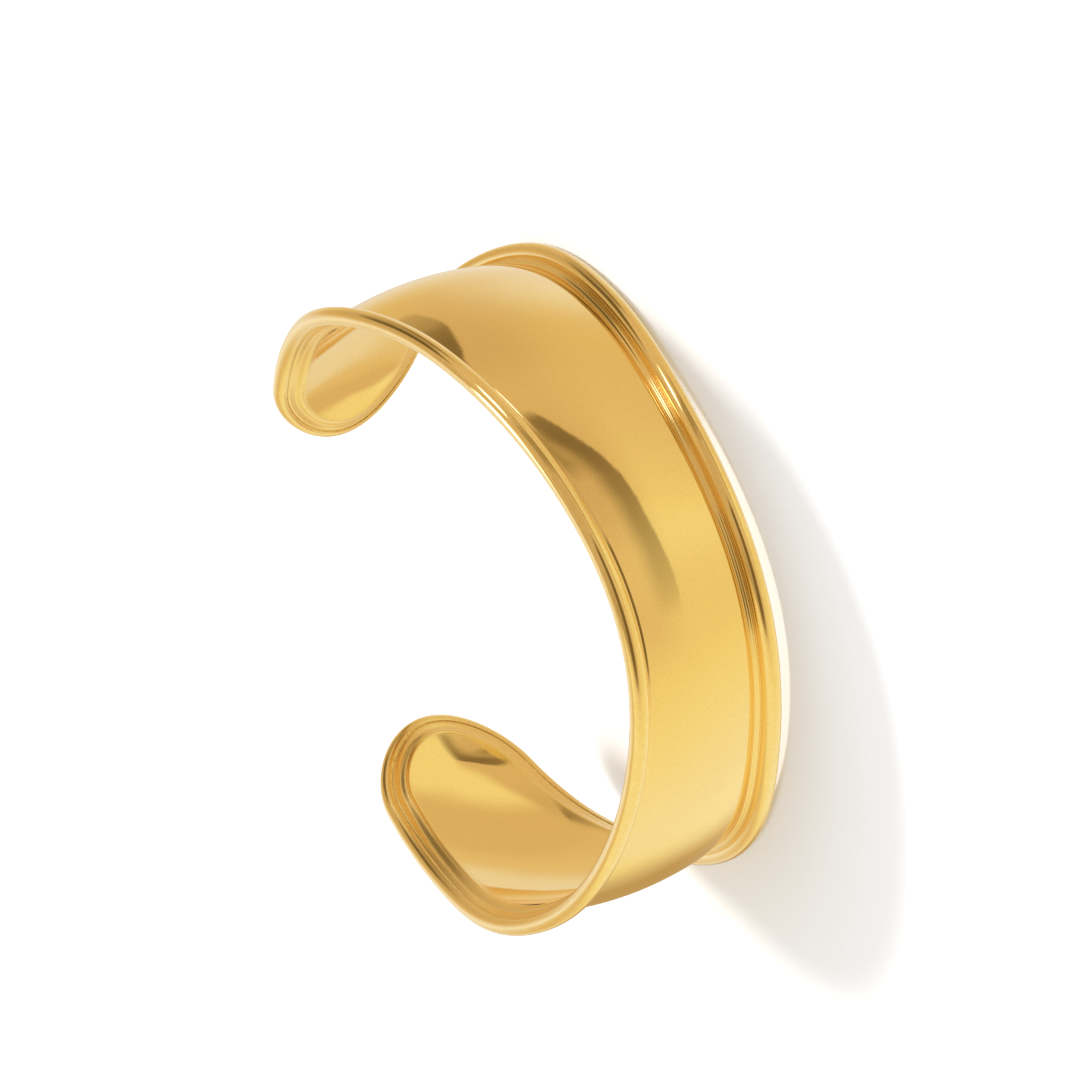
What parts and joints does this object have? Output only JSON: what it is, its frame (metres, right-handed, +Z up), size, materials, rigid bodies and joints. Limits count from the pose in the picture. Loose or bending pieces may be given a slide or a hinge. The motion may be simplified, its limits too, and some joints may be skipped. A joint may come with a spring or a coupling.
{
  "type": "cuff bracelet",
  "caption": "Open oval cuff bracelet: a lightly crowned metal band, widest at its sides, with a round bead edge and rounded tips that leave a gap for the wrist.",
  "frame": {"origin": "on the surface that the cuff lies on, under the middle of its bounding box", "axes": "+Z up from that surface, through the opening for the wrist; +Y from the broad back of the cuff towards the gap between its tips; +X across the cuff, to the right seen from the back"},
  "size_m": [0.0562, 0.0584, 0.0205],
  "materials": {
    "gold_plated_brass": "polished yellow gold plating"
  },
  "bodies": {
    "root": {"cuff": "gold_plated_brass"}
  },
  "joints": []
}
